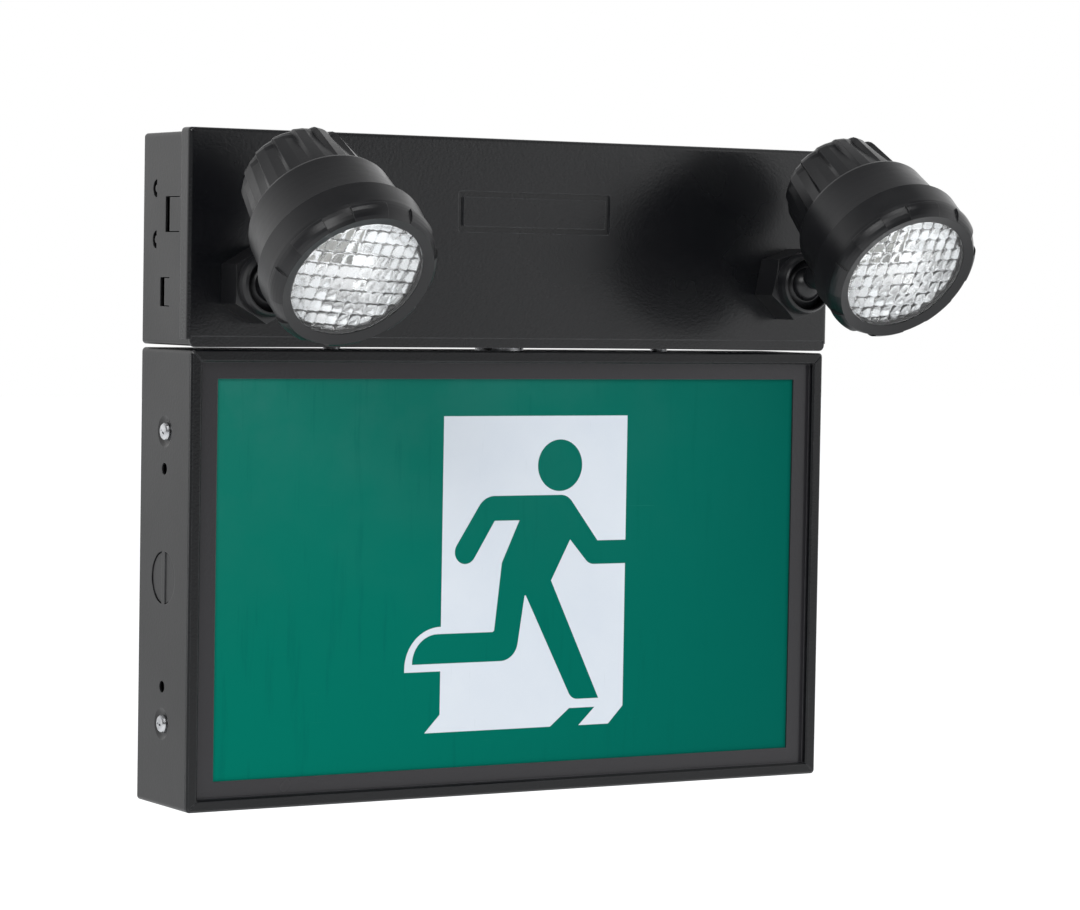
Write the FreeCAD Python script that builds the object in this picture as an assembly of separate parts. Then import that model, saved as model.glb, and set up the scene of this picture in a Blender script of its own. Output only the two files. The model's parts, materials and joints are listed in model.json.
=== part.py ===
import FreeCAD, Part
import math
import os

# Combination exit sign: a battery housing with two swivelling lamp heads above a
# lit running-figure sign box.  Millimetres.  Origin: middle of the wall screw
# pattern on the back plate.  +X right and +Z up as seen from the room, the wall
# is the plane y = 0 and the front faces -Y.

V = FreeCAD.Vector

# --- sheet metal -----------------------------------------------------------
STEEL = 1.0             # sheet of the boxes
COVER_STEEL = 1.2       # sheet of the housing cover
BEND_R = 1.8            # outside radius of the bends
SEAT = 0.1              # clearance between pieces that rest on each other
SLIP = 0.3              # clearance between pieces that pass each other
THREAD_FIT = 0.05       # radial clearance of screwed pieces

# --- sign box --------------------------------------------------------------
SIGN_W = 315.0
SIGN_H = 190.5
SIGN_D = 47.6           # wall to the crest of the rim
RIM_EDGE = 1.6          # rim thickness seen from the side
RIM_W = 5.1             # raised rim
RIM_BEVEL = 0.8
RIM_STEP = 3.4          # bezel below the crest of the rim
MARGIN_X = 13.6         # outer edge to legend opening, sides
MARGIN_Z = 12.0         # outer edge to legend opening, top and bottom
FRAME_LIP = 8.0         # flange of the face frame inside the body
MITRE_GROOVE = 0.3
LEGEND_LAP = 4.0        # legend edge hidden behind the bezel
FILM_T = 0.4
PANEL_T = 2.5

# --- side fittings of the sign box ----------------------------------------
SIDE_Y = 22.8           # screw and knockout line, distance from the wall
SIDE_SCREW_Z = 60.8     # screws above and below the middle
DIMPLE_R = 6.6
DIMPLE_DEPTH = 0.9
SIDE_HOLE_Z = 45.3
SIDE_HOLE_R = 2.5
KNOCKOUT_R = 11.1
KNOCKOUT_CUT = 0.5      # width of the sheared ring
KNOCKOUT_TIE = 3.0
KNOCKOUT_PUSH = 0.4     # knockout stands this far inside the wall
SCREW_R = 2.0
SCREW_HEAD_R = 3.8
SCREW_HEAD_H = 2.3
SCREW_L = 8.0

# --- back plate, light source ----------------------------------------------
WALL_X = 254.0          # wall screw pattern
WALL_Z = 127.0
WALL_HOLE_R = 2.75
WIRE_HOLE_R = 11.1
EAR_H = 24.0            # ears that take the side screws
EAR_D = 32.0
LINER_T = 0.6
LINER_MARGIN = 8.0
STRIP_Z = 58.0          # light strips above and below the middle
STRIP_W = 10.0
STRIP_T = 1.6
STRIP_MARGIN = 28.0
LED_SIDE = 3.5
LED_T = 1.2
LED_PITCH = 22.0

# --- battery housing -------------------------------------------------------
BOX_GAP = 1.4           # sign box to housing
HOUSING_H = 87.9
COVER_D = 47.2          # wall to the front of the cover
TRAY_SET = 0.9          # tray edge behind the cover sheet
COVER_OVERHANG = 2.0    # cover beyond the tray on each side
COVER_TOP = 1.5         # cover above the tray
FLANGE_D = 7.6          # cover flange, front to back
FLANGE_FOOT = 2.8       # tray bottom to the end of the side flanges
LIP_H = 4.5
LIP_INSET = 1.2         # lip inside the cover edge, each side
LIP_SET = 0.3           # lip behind the front of the cover
LIP_DROP = 0.4          # lip below the tray
LIP_ARCH = 0.5
LIP_CORNER_R = 2.6
EMBOSS_X = 5.0
EMBOSS_Z = 154.6
EMBOSS_W = 75.8
EMBOSS_H = 17.3
EMBOSS_GROOVE = 2.4
EMBOSS_DEPTH = 1.0
EMBOSS_R = 1.2

# --- lanced tabs and half shears on the sides of the tray -------------------
TAB_CUT = 0.4
UPPER_TAB = (21.0, 4.0, 9.3, 14.8)      # back, window, tongue, height
LOWER_TAB = (16.7, 4.0, 4.6, 12.1)
UPPER_TAB_DROP = 41.35                  # top of the tray to the foot of the tab
LOWER_TAB_RISE = 15.85                  # bottom of the tray to the foot of the tab
SHEAR_Y = 12.6
SHEAR_R = 3.8
SHEAR_CUT = 2.2
SHEAR_DROP = (23.15, 44.35)             # top of the tray to each half shear

# --- link between the boxes ------------------------------------------------
LINK_SETBACK = 16.2     # nipple behind the bezel sheet
NIPPLE_R = 10.5
NIPPLE_WALL = 2.5
NIPPLE_STAND = 7.0
LOCK_NUT_AF = 28.0
LOCK_NUT_H = 3.5
NUT_TURN = 30.0
LINK_SCREW_X = 82.3
LINK_SCREW_R = 2.4
SPACER_R = 3.7
LINK_HEAD_R = 4.4
LINK_HEAD_H = 3.0
LINK_NUT_AF = 8.0
LINK_NUT_H = 4.0

# --- battery, charger, switch -----------------------------------------------
BATTERY_W = 134.0
BATTERY_D = 34.0
BATTERY_H = 61.0
BATTERY_X = -28.0
BATTERY_FOOT = 14.5     # tray floor to the battery
TERMINAL_W = 5.0
TERMINAL_H = 4.5
STRAP_W = 20.0
STRAP_T = 1.2
STRAP_FOOT = 8.0
BOARD_W = 62.0
BOARD_H = 66.0
BOARD_X = 84.0
BOARD_T = 1.6
STANDOFF_H = 6.0
STANDOFF_R = 2.6
STANDOFF_INSET = 4.5
RELAY_W = 16.0
RELAY_D = 15.0
CAP_R = 5.0
CAP_H = 17.0
TRANSFORMER_W = 34.0
TRANSFORMER_D = 26.0
TRANSFORMER_H = 30.0
SMALL_SCREW_R = 1.5
SMALL_HEAD_R = 2.8
SMALL_HEAD_H = 1.8
SMALL_SCREW_L = 5.0
BUTTON_Y = 28.0
BUTTON_Z = 132.0
BUTTON_R = 4.5
BUTTON_STAND = 2.6
BUTTON_TRAVEL = 2.0
BUTTON_L = 9.0
BUSHING_WALL = 1.1
BUSHING_RIM_R = 6.6
BUSHING_RIM_T = 1.2
SWITCH_SIDE = 13.0
SWITCH_D = 9.0
PILOT_Y = 12.0
PILOT_R = 2.5
PILOT_STAND = 1.6
PILOT_BODY_R = 3.4
PILOT_L = 6.0

# --- swivel of a lamp head --------------------------------------------------
HEAD_SPAN = 265.7       # between the two lamp heads
HEAD_MID_X = 2.4        # middle of the pair, right of the middle of the sign
HEAD_Z = 124.2
HEAD_SKEW = 3.9         # right head above the left head
HEAD_AIM = 0.9          # left head below, right head above the common pitch, degrees
HEX_AF = 28.0
HEX_H = 14.3
HEX_CHAMFER = 1.2
LEFT_HEX_TURN = 30.0    # where each base came to rest when it was screwed tight
RIGHT_HEX_TURN = 18.0
COLLAR_R = 13.4
COLLAR_H = 6.1
COLLAR_MOUTH = 11.35
SEAT_FLANGE_R = 12.5
NIPPLE_FLANGE_T = 3.0
SHANK_R = 8.0
SHANK_STAND = 7.0
SHANK_BORE = 4.5
HEAD_NUT_AF = 24.0
HEAD_NUT_H = 3.5
CUP_SHOULDER = 10.6     # cover to the shoulder that holds the cup
CUP_FRONT = 18.3        # cover to the front of the cup
BALL_OUT = 15.8         # cover to the ball centre
BALL_R = 7.6
BALL_FIT = 0.12
NECK_R = 4.4
NECK_END = 9.2          # ball centre to the thick part of the stem
STEM_R = 6.0
STEM_END = 19.5         # ball centre to the boss on the shell
STEM_ROUND = 1.2
SPIGOT_R = 4.2
SPIGOT_L = 6.0
STEM_RISE = 18.0        # stem above level, degrees

# --- lamp head --------------------------------------------------------------
HEAD_PITCH = 37.7       # lens axis below level, degrees
HEAD_REACH = 75.6       # ball centre to lens plane centre, level
HEAD_LIFT = 3.7         # the same, upwards
LENS_SEEN_R = 27.7
LENS_R = 29.4
LENS_T = 3.2
LENS_DOME = 1.0
BEZEL_LIP_T = 1.2
BEZEL_CREST = 1.5       # front crest ahead of the inner edge
BEZEL_CREST_R = 31.7
BEZEL_R = 34.8
BEZEL_CORNER = 8.0      # inner edge to the end of the rounded corner
BEZEL_FLARE = 0.4       # the ring widens to its rear edge
BEZEL_D = 17.1
BEZEL_WALL = 1.8
PAD_COUNT = 8
PAD_ANGLE = 25.0
PAD_PROUD = 0.9
PAD_D = 4.5
PAD_TURN = -9.0
BOWL_R = 33.3
BOWL_MID_R = 31.6
BOWL_END_R = 30.8
BOWL_D = 41.2           # lens plane to the shoulder of the bowl
SHOULDER_R = 1.6
SHELL_WALL = 2.2
BARREL_R = 27.3         # flutes start here
REAR_R = 24.5           # before the rounded rear edge
REAR_FACE_R = 20.0      # flat end behind it
REAR_EDGE = 6.5         # depth of the rounded edge
HEAD_L = 71.0
FLUTE_COUNT = 16
FLUTE_DEPTH = 2.2
FLUTE_RUNOUT = 0.15
FLUTE_TURN = -1.2
FLUTE_STEP = 0.14       # share of the pitch taken by the steep side
REAR_STEPS = 4          # facets across the rounded rear edge
BOSS_R = 8.0
GASKET_T = 1.0
MIRROR_T = 0.9
MIRROR_D = 22.0
MIRROR_NECK_R = 9.0
MIRROR_NECK_L = 3.0
BULB_R = 5.0
BULB_L = 15.0
HOLDER_R = 8.4
HOLDER_L = 7.0

# --- derived ----------------------------------------------------------------
HALF_W = SIGN_W / 2
HALF_H = SIGN_H / 2
BODY_D = SIGN_D - RIM_EDGE - SLIP
BEZEL_Y = -(SIGN_D - RIM_STEP)            # front of the flat bezel
LINK_Y = -BEZEL_Y - STEEL - LINK_SETBACK
FILM_Y = BEZEL_Y + STEEL                  # front of the legend film
PANEL_Y = FILM_Y + FILM_T
TRAY_Z0 = HALF_H + BOX_GAP
TRAY_Z1 = TRAY_Z0 + HOUSING_H
COVER_HALF = HALF_W + COVER_OVERHANG
TRAY_D = COVER_D - COVER_STEEL - TRAY_SET
COVER_Z1 = TRAY_Z1 + COVER_TOP
LIP_Z0 = TRAY_Z0 - LIP_DROP
LIP_Z1 = LIP_Z0 + LIP_H
COVER_IN = -(COVER_D - COVER_STEEL)       # inner face of the cover
EAR_X = HALF_W - STEEL - DIMPLE_DEPTH - SEAT


# --- building blocks --------------------------------------------------------
def block(x0, x1, y0, y1, z0, z1):
    return Part.makeBox(x1 - x0, y1 - y0, z1 - z0, V(x0, y0, z0))


def rod(base, axis, radius, length):
    return Part.makeCylinder(radius, length, V(*base), V(*axis))


def cone(base, axis, radius0, radius1, length):
    return Part.makeCone(radius0, radius1, length, V(*base), V(*axis))


def round_rect(half_w, half_h, radius, y, x=0.0, z=0.0):
    """Closed wire: a rectangle with round corners in the plane y."""
    r = max(min(radius, half_w, half_h), 0.01)
    parts, quarter = [], math.pi / 2
    centres = [(half_w - r, half_h - r), (r - half_w, half_h - r),
               (r - half_w, r - half_h), (half_w - r, r - half_h)]
    ring = []
    for i, (cx, cz) in enumerate(centres):
        for share in (0.0, 0.5, 1.0):
            a = quarter * (i + share)
            ring.append(V(x + cx + r * math.cos(a), y, z + cz + r * math.sin(a)))
    for i in range(4):
        a, b, c = ring[3 * i:3 * i + 3]
        parts.append(Part.Arc(a, b, c).toShape())
        parts.append(Part.LineSegment(c, ring[(3 * i + 3) % 12]).toShape())
    return Part.Wire(parts)


def plate(half_w, half_h, radius, y0, y1, x=0.0, z=0.0):
    """Round-cornered plate between y0 and y1."""
    face = Part.Face(round_rect(half_w, half_h, radius, y0, x, z))
    return face.extrude(V(0, y1 - y0, 0))


def taper(size0, y0, size1, y1):
    """Solid between two round-cornered rectangles (half width, half height, radius)."""
    return Part.makeLoft([round_rect(*size0, y0), round_rect(*size1, y1)], True, True)


def turned(points, angle=360.0, start=0.0):
    """Profile of (radius, y) points turned about the Y axis."""
    corners = [V(r, y, 0) for r, y in points]
    solid = Part.Face(Part.makePolygon(corners + corners[:1])).revolve(
        V(0, 0, 0), V(0, 1, 0), angle)
    solid.rotate(V(0, 0, 0), V(0, 1, 0), start)
    return solid


def hexagon(across_flats, y0, y1, turn=0.0):
    """Hexagonal prism along Y, corners at the given turn."""
    r = across_flats / math.sqrt(3)
    ring = [V(r * math.cos(math.radians(60 * i + turn)), y0,
              r * math.sin(math.radians(60 * i + turn))) for i in range(6)]
    return Part.Face(Part.makePolygon(ring + ring[:1])).extrude(V(0, y1 - y0, 0))


def placed(shape, x, y, z):
    copy = shape.copy()
    copy.translate(V(x, y, z))
    return copy


def mirrored(shape):
    return shape.mirror(V(0, 0, 0), V(1, 0, 0))


def both_sides(shape):
    """The tool and its mirror image, for the left and right walls."""
    return shape.fuse(mirrored(shape))


def group(shapes):
    return Part.Compound(shapes)


def whole(shape):
    """The single clean solid of a Boolean result."""
    return shape.removeSplitter().Solids[0]


# --- sign box ----------------------------------------------------------------
def side_dimple_tools():
    """Dimple round each side screw on the left wall: (metal inside, recess, hole)."""
    metal, recess, hole = [], [], []
    for z in (SIDE_SCREW_Z, -SIDE_SCREW_Z):
        seat_r = SCREW_HEAD_R + DIMPLE_DEPTH
        inner = (-HALF_W + STEEL, -SIDE_Y, z)
        metal.append(cone(inner, (1, 0, 0), DIMPLE_R + STEEL / 2, seat_r + STEEL / 2, DIMPLE_DEPTH))
        recess.append(cone((-HALF_W, -SIDE_Y, z), (1, 0, 0), DIMPLE_R, seat_r, DIMPLE_DEPTH))
        hole.append(rod((-HALF_W, -SIDE_Y, z), (1, 0, 0), SCREW_R + SLIP, STEEL + DIMPLE_DEPTH + SLIP))
    return metal, recess, hole


def knockout_tools():
    """Half-sheared disc on the left wall: metal pushed inside, and what is cut away."""
    outer = (-HALF_W, -SIDE_Y, 0)
    disc = rod((-HALF_W + STEEL, -SIDE_Y, 0), (1, 0, 0), KNOCKOUT_R - KNOCKOUT_CUT, KNOCKOUT_PUSH)
    recess = rod(outer, (1, 0, 0), KNOCKOUT_R, KNOCKOUT_PUSH)
    ring = rod(outer, (1, 0, 0), KNOCKOUT_R, STEEL).cut(
        rod(outer, (1, 0, 0), KNOCKOUT_R - KNOCKOUT_CUT, STEEL))
    tie = block(-HALF_W, -HALF_W + STEEL, -SIDE_Y - KNOCKOUT_TIE / 2, -SIDE_Y + KNOCKOUT_TIE / 2,
                -KNOCKOUT_R - SLIP, KNOCKOUT_R + SLIP)
    return disc, recess.fuse(ring).cut(tie)


def link_holes(z):
    """Tools for the link holes through a horizontal wall that starts at height z."""
    tools = [rod((0, -LINK_Y, z), (0, 0, 1), NIPPLE_R + THREAD_FIT, STEEL)]
    for x in (-LINK_SCREW_X, LINK_SCREW_X):
        tools.append(rod((x, -LINK_Y, z), (0, 0, 1), LINK_SCREW_R + SLIP, STEEL))
    return tools


def sign_body():
    """Four-sided wrap, open to the wall and to the face."""
    wrap = plate(HALF_W, HALF_H, BEND_R, -BODY_D, 0)
    wrap = wrap.cut(plate(HALF_W - STEEL, HALF_H - STEEL, BEND_R - STEEL, -BODY_D, 0))
    metal, recess, holes = side_dimple_tools()
    disc, knockout = knockout_tools()
    for z in (SIDE_HOLE_Z, -SIDE_HOLE_Z):
        holes.append(rod((-HALF_W, -SIDE_Y, z), (1, 0, 0), SIDE_HOLE_R, STEEL))
    wrap = wrap.fuse([both_sides(m) for m in metal + [disc]])
    cuts = [both_sides(c) for c in recess + holes + [knockout]]
    return whole(wrap.cut(cuts + link_holes(HALF_H - STEEL)))


def sign_back_plate():
    """Back plate with four ears that take the side screws."""
    half_w, half_h = HALF_W - STEEL - SLIP, HALF_H - STEEL - SLIP
    sheet = plate(half_w, half_h, BEND_R, -STEEL, 0)
    ears, holes = [], []
    for z in (SIDE_SCREW_Z, -SIDE_SCREW_Z):
        ear = block(-EAR_X, -EAR_X + STEEL, -EAR_D, 0, z - EAR_H / 2, z + EAR_H / 2)
        ears.append(both_sides(ear))
        gap = block(-half_w - SLIP, -EAR_X, -STEEL, 0, z - EAR_H / 2, z + EAR_H / 2)
        holes.append(both_sides(gap))
        hole = rod((-EAR_X, -SIDE_Y, z), (1, 0, 0), SCREW_R + THREAD_FIT, STEEL)
        holes.append(both_sides(hole))
    for x in (-WALL_X / 2, WALL_X / 2):
        for z in (-WALL_Z / 2, WALL_Z / 2):
            holes.append(rod((x, -STEEL, z), (0, 1, 0), WALL_HOLE_R, STEEL))
    holes.append(rod((0, -STEEL, 0), (0, 1, 0), WIRE_HOLE_R, STEEL))
    return whole(sheet.fuse(ears).cut(holes))


def frame_rim():
    """Raised bevelled rim round the face."""
    crest, foot = -SIGN_D, -SIGN_D + RIM_EDGE
    bevel_y = crest + RIM_BEVEL
    outer = plate(HALF_W, HALF_H, BEND_R, bevel_y, foot)
    slope = taper((HALF_W, HALF_H, BEND_R), bevel_y,
                  (HALF_W - RIM_BEVEL, HALF_H - RIM_BEVEL, BEND_R - RIM_BEVEL / 2), crest)
    inner_w, inner_h = HALF_W - RIM_W, HALF_H - RIM_W
    inner = plate(inner_w, inner_h, 0, bevel_y, foot)
    inner_slope = taper((inner_w, inner_h, 0), bevel_y,
                        (inner_w + RIM_BEVEL, inner_h + RIM_BEVEL, 0), crest)
    return outer.fuse(slope).cut([inner, inner_slope])


def mitre_grooves():
    """Fine grooves where the four lengths of rim meet."""
    reach, tools = RIM_W * math.sqrt(2), []
    for sx in (-1, 1):
        for sz in (-1, 1):
            groove = block(-reach, reach, -SIGN_D, -SIGN_D + MITRE_GROOVE,
                           -MITRE_GROOVE / 2, MITRE_GROOVE / 2)
            groove.rotate(V(0, 0, 0), V(0, 1, 0), -45.0 * sx * sz)
            tools.append(placed(groove, sx * (HALF_W - RIM_W / 2), 0, sz * (HALF_H - RIM_W / 2)))
    return tools


def face_frame():
    """Rim, flat bezel and the flange that slips inside the body."""
    back = BEZEL_Y + STEEL
    inset = STEEL + SLIP
    wall = plate(HALF_W - RIM_W + STEEL, HALF_H - RIM_W + STEEL, 0, -SIGN_D + RIM_EDGE, back)
    wall = wall.cut(plate(HALF_W - RIM_W, HALF_H - RIM_W, 0, -SIGN_D + RIM_EDGE, BEZEL_Y))
    bezel = plate(HALF_W - inset, HALF_H - inset, 0, BEZEL_Y, back)
    flange = plate(HALF_W - inset, HALF_H - inset, 0, -SIGN_D + RIM_EDGE, back + FRAME_LIP)
    flange = flange.cut(plate(HALF_W - inset - STEEL, HALF_H - inset - STEEL, 0,
                              -SIGN_D + RIM_EDGE, back + FRAME_LIP))
    half_in = HALF_H - inset - STEEL - SLIP
    window = plate(HALF_W - MARGIN_X, HALF_H - MARGIN_Z, 0, -SIGN_D, back)
    nut_half = LOCK_NUT_AF / math.sqrt(3) + STEEL
    notch = block(-nut_half, nut_half, back, back + FRAME_LIP, half_in, HALF_H)
    body = frame_rim().fuse([wall, bezel, flange]).cut([window, notch] + mitre_grooves())
    return whole(body)


def side_screws():
    """Pan-head screws in the dimples, two on each side."""
    seat = HALF_W - DIMPLE_DEPTH
    head = turned([(0, SCREW_HEAD_H), (SCREW_HEAD_R * 0.55, SCREW_HEAD_H * 0.93),
                   (SCREW_HEAD_R * 0.88, SCREW_HEAD_H * 0.62), (SCREW_HEAD_R, SCREW_HEAD_H * 0.2),
                   (SCREW_HEAD_R, 0), (0, 0)])
    screw = head.fuse(rod((0, 0, 0), (0, -1, 0), SCREW_R, SCREW_L))
    screw.rotate(V(0, 0, 0), V(0, 0, 1), 90)
    solids = []
    for z in (SIDE_SCREW_Z, -SIDE_SCREW_Z):
        left = placed(whole(screw), -seat, -SIDE_Y, z)
        solids += [left, mirrored(left)]
    return group(solids)


# --- legend ------------------------------------------------------------------
def legend_film():
    """Printed film that carries the legend."""
    half_w, half_h = HALF_W - MARGIN_X + LEGEND_LAP, HALF_H - MARGIN_Z + LEGEND_LAP
    return plate(half_w, half_h, 0, FILM_Y, FILM_Y + FILM_T)


def legend_panel():
    """White diffuser behind the film."""
    half_w, half_h = HALF_W - MARGIN_X + LEGEND_LAP, HALF_H - MARGIN_Z + LEGEND_LAP
    return plate(half_w, half_h, 0, PANEL_Y, PANEL_Y + PANEL_T)


def sign_liner():
    """White reflecting sheet on the back plate."""
    half_w, half_h = EAR_X - STEEL - LINER_MARGIN, HALF_H - STEEL - LINER_MARGIN
    sheet = plate(half_w, half_h, 0, -STEEL - LINER_T, -STEEL)
    holes = [rod((0, -STEEL - LINER_T, 0), (0, 1, 0), WIRE_HOLE_R, LINER_T)]
    for x in (-WALL_X / 2, WALL_X / 2):
        for z in (-WALL_Z / 2, WALL_Z / 2):
            holes.append(rod((x, -STEEL - LINER_T, z), (0, 1, 0), WALL_HOLE_R + SLIP, LINER_T))
    return whole(sheet.cut(holes))


def led_strip():
    """Light strip with its row of emitters, about its own middle."""
    back = -STEEL - LINER_T
    half = WALL_X / 2 - STRIP_MARGIN
    strip = block(-half, half, back - STRIP_T, back, -STRIP_W / 2, STRIP_W / 2)
    count = int((2 * half - LED_SIDE) // LED_PITCH) + 1
    first = -LED_PITCH * (count - 1) / 2
    leds = []
    for i in range(count):
        x = first + LED_PITCH * i
        leds.append(block(x - LED_SIDE / 2, x + LED_SIDE / 2, back - STRIP_T - LED_T,
                          back - STRIP_T, -LED_SIDE / 2, LED_SIDE / 2))
    return whole(strip.fuse(leds))


def led_strips():
    return group([placed(led_strip(), 0, 0, z) for z in (STRIP_Z, -STRIP_Z)])


# --- link between the boxes ----------------------------------------------------
def upright(shape, x, y, z):
    """Piece made along Y, stood up along Z and placed."""
    copy = shape.copy()
    copy.rotate(V(0, 0, 0), V(1, 0, 0), 90)
    return placed(copy, x, y, z)


def nut(across_flats, height, bore):
    return whole(hexagon(across_flats, 0, height, NUT_TURN).cut(rod((0, 0, 0), (0, 1, 0), bore, height)))


def link_nipple():
    """Threaded nipple that carries the wires and holds the boxes together."""
    z0 = HALF_H - STEEL - NIPPLE_STAND
    length = TRAY_Z0 + STEEL + NIPPLE_STAND - z0
    tube = rod((0, -LINK_Y, z0), (0, 0, 1), NIPPLE_R, length)
    return whole(tube.cut(rod((0, -LINK_Y, z0), (0, 0, 1), NIPPLE_R - NIPPLE_WALL, length)))


def link_lock_nuts():
    ring = nut(LOCK_NUT_AF, LOCK_NUT_H, NIPPLE_R + THREAD_FIT)
    low = upright(ring, 0, -LINK_Y, HALF_H - STEEL - LOCK_NUT_H)
    return group([low, upright(ring, 0, -LINK_Y, TRAY_Z0 + STEEL)])


def link_spacers():
    ring = rod((0, 0, 0), (0, 0, 1), SPACER_R, BOX_GAP).cut(
        rod((0, 0, 0), (0, 0, 1), LINK_SCREW_R + SLIP, BOX_GAP))
    return group([placed(ring.Solids[0], x, -LINK_Y, HALF_H) for x in (-LINK_SCREW_X, LINK_SCREW_X)])


def link_screws():
    """Machine screws with the heads in the housing and the nuts in the sign box."""
    seat = TRAY_Z0 + STEEL
    reach = 2 * STEEL + BOX_GAP + LINK_NUT_H + STEEL
    solids = []
    for x in (-LINK_SCREW_X, LINK_SCREW_X):
        head = rod((x, -LINK_Y, seat), (0, 0, 1), LINK_HEAD_R, LINK_HEAD_H)
        solids.append(whole(head.fuse(rod((x, -LINK_Y, seat - reach), (0, 0, 1), LINK_SCREW_R, reach))))
    return group(solids)


def link_nuts():
    ring = nut(LINK_NUT_AF, LINK_NUT_H, LINK_SCREW_R + THREAD_FIT)
    z = HALF_H - STEEL - LINK_NUT_H
    return group([upright(ring, x, -LINK_Y, z) for x in (-LINK_SCREW_X, LINK_SCREW_X)])


# --- housing --------------------------------------------------------------------
def tab_cut(tab, foot):
    """Lanced tab on the left wall: the window behind it and the slits along it."""
    back, window, tongue, height = tab
    x0, x1 = -HALF_W, -HALF_W + STEEL
    cuts = [block(x0, x1, -back - window, -back, foot, foot + height)]
    for z in (foot, foot + height - TAB_CUT):
        cuts.append(block(x0, x1, -back - window - tongue, -back - window, z, z + TAB_CUT))
    return cuts[0].fuse(cuts[1:])


def half_shear(z):
    """Crescent slot on the left wall."""
    base = (-HALF_W, -SHEAR_Y, z)
    ring = rod(base, (1, 0, 0), SHEAR_R, STEEL).cut(rod(base, (1, 0, 0), SHEAR_R - SHEAR_CUT, STEEL))
    keep = block(-HALF_W, -HALF_W + STEEL, -SHEAR_Y, -SHEAR_Y + SHEAR_R, z - SHEAR_R, z + SHEAR_R)
    return ring.common(keep)


def board_points():
    """Fixing points of the charger board."""
    z_mid = TRAY_Z0 + HOUSING_H / 2
    dx, dz = BOARD_W / 2 - STANDOFF_INSET, BOARD_H / 2 - STANDOFF_INSET
    return [(BOARD_X + sx * dx, z_mid + sz * dz) for sx in (-1, 1) for sz in (-1, 1)]


def strap_points():
    """Screws of the battery strap, above and below the battery."""
    z0 = TRAY_Z0 + STEEL + BATTERY_FOOT
    step = STRAP_T + STRAP_FOOT / 2
    return [(BATTERY_X, z0 - step), (BATTERY_X, z0 + BATTERY_H + step)]


def housing_tray():
    """Back tray of the battery housing."""
    z_mid, half_h = (TRAY_Z0 + TRAY_Z1) / 2, HOUSING_H / 2
    tray = plate(HALF_W, half_h, BEND_R, -TRAY_D, 0, 0, z_mid)
    tray = tray.cut(plate(HALF_W - STEEL, half_h - STEEL, BEND_R - STEEL, -TRAY_D, -STEEL, 0, z_mid))
    cuts = [both_sides(tab_cut(UPPER_TAB, TRAY_Z1 - UPPER_TAB_DROP)),
            both_sides(tab_cut(LOWER_TAB, TRAY_Z0 + LOWER_TAB_RISE))]
    cuts += [both_sides(half_shear(TRAY_Z1 - drop)) for drop in SHEAR_DROP]
    cuts += link_holes(TRAY_Z0)
    wall = HALF_W - STEEL
    cuts.append(rod((wall, -BUTTON_Y, BUTTON_Z), (1, 0, 0), BUTTON_R + SLIP + BUSHING_WALL + SEAT, STEEL))
    cuts.append(rod((wall, -PILOT_Y, BUTTON_Z), (1, 0, 0), PILOT_R + SEAT, STEEL))
    for x, z in board_points() + strap_points():
        cuts.append(rod((x, -STEEL, z), (0, 1, 0), SMALL_SCREW_R, STEEL))
    return whole(tray.cut(cuts))


def pan(half_w, z0, z1, y0, radius):
    """Solid pan blank, front edges rounded, from the front plane y0 back to the flange end."""
    blank = block(-half_w, half_w, y0, -COVER_D + FLANGE_D, z0, z1)
    edges = []
    for e in blank.Edges:
        a, b = e.Vertexes[0].Point, e.Vertexes[1].Point
        at_front = abs(a.y - y0) < 1e-6 and abs(b.y - y0) < 1e-6
        on_side = abs(abs(a.x) - half_w) < 1e-6 and abs(a.x - b.x) < 1e-6
        on_top = abs(a.z - z1) < 1e-6 and abs(b.z - z1) < 1e-6
        if (at_front and (on_side or on_top)) or (on_side and on_top):
            edges.append(e)
    return blank.makeFillet(radius, edges)


def cover_lip():
    """Joggled lip under the cover, with round corners and a slightly arched edge."""
    half = COVER_HALF - LIP_INSET
    y0 = -COVER_D + LIP_SET
    lip = plate(half, LIP_H, LIP_CORNER_R, y0, y0 + COVER_STEEL, 0, LIP_Z0 + LIP_H)
    lip = lip.cut(block(-half, half, y0, y0 + COVER_STEEL, LIP_Z1 + COVER_STEEL, LIP_Z1 + 2 * LIP_H))
    ends = half - 4 * LIP_CORNER_R
    arch = Part.Arc(V(-ends, y0, LIP_Z0), V(0, y0, LIP_Z0 + LIP_ARCH), V(ends, y0, LIP_Z0)).toShape()
    chord = Part.LineSegment(V(ends, y0, LIP_Z0), V(-ends, y0, LIP_Z0)).toShape()
    return lip.cut(Part.Face(Part.Wire([arch, chord])).extrude(V(0, COVER_STEEL, 0)))


def head_centres():
    """Centres of the left and right lamp head on the cover."""
    return [(HEAD_MID_X - HEAD_SPAN / 2, HEAD_Z - HEAD_SKEW / 2),
            (HEAD_MID_X + HEAD_SPAN / 2, HEAD_Z + HEAD_SKEW / 2)]


def emboss_tools():
    """Groove round the raised field: metal behind it and the groove itself."""
    half_w, half_h = EMBOSS_W / 2, EMBOSS_H / 2
    where = (EMBOSS_X, EMBOSS_Z)
    inner_w, inner_h = half_w - EMBOSS_GROOVE, half_h - EMBOSS_GROOVE
    wide = COVER_STEEL / 2
    metal = plate(half_w + wide, half_h + wide, EMBOSS_R, COVER_IN, COVER_IN + EMBOSS_DEPTH, *where)
    metal = metal.cut(plate(inner_w - wide, inner_h - wide, EMBOSS_R, COVER_IN,
                            COVER_IN + EMBOSS_DEPTH, *where))
    groove = plate(half_w, half_h, EMBOSS_R, -COVER_D, -COVER_D + EMBOSS_DEPTH, *where)
    groove = groove.cut(plate(inner_w, inner_h, EMBOSS_R / 2, -COVER_D, -COVER_D + EMBOSS_DEPTH, *where))
    return metal, groove


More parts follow.
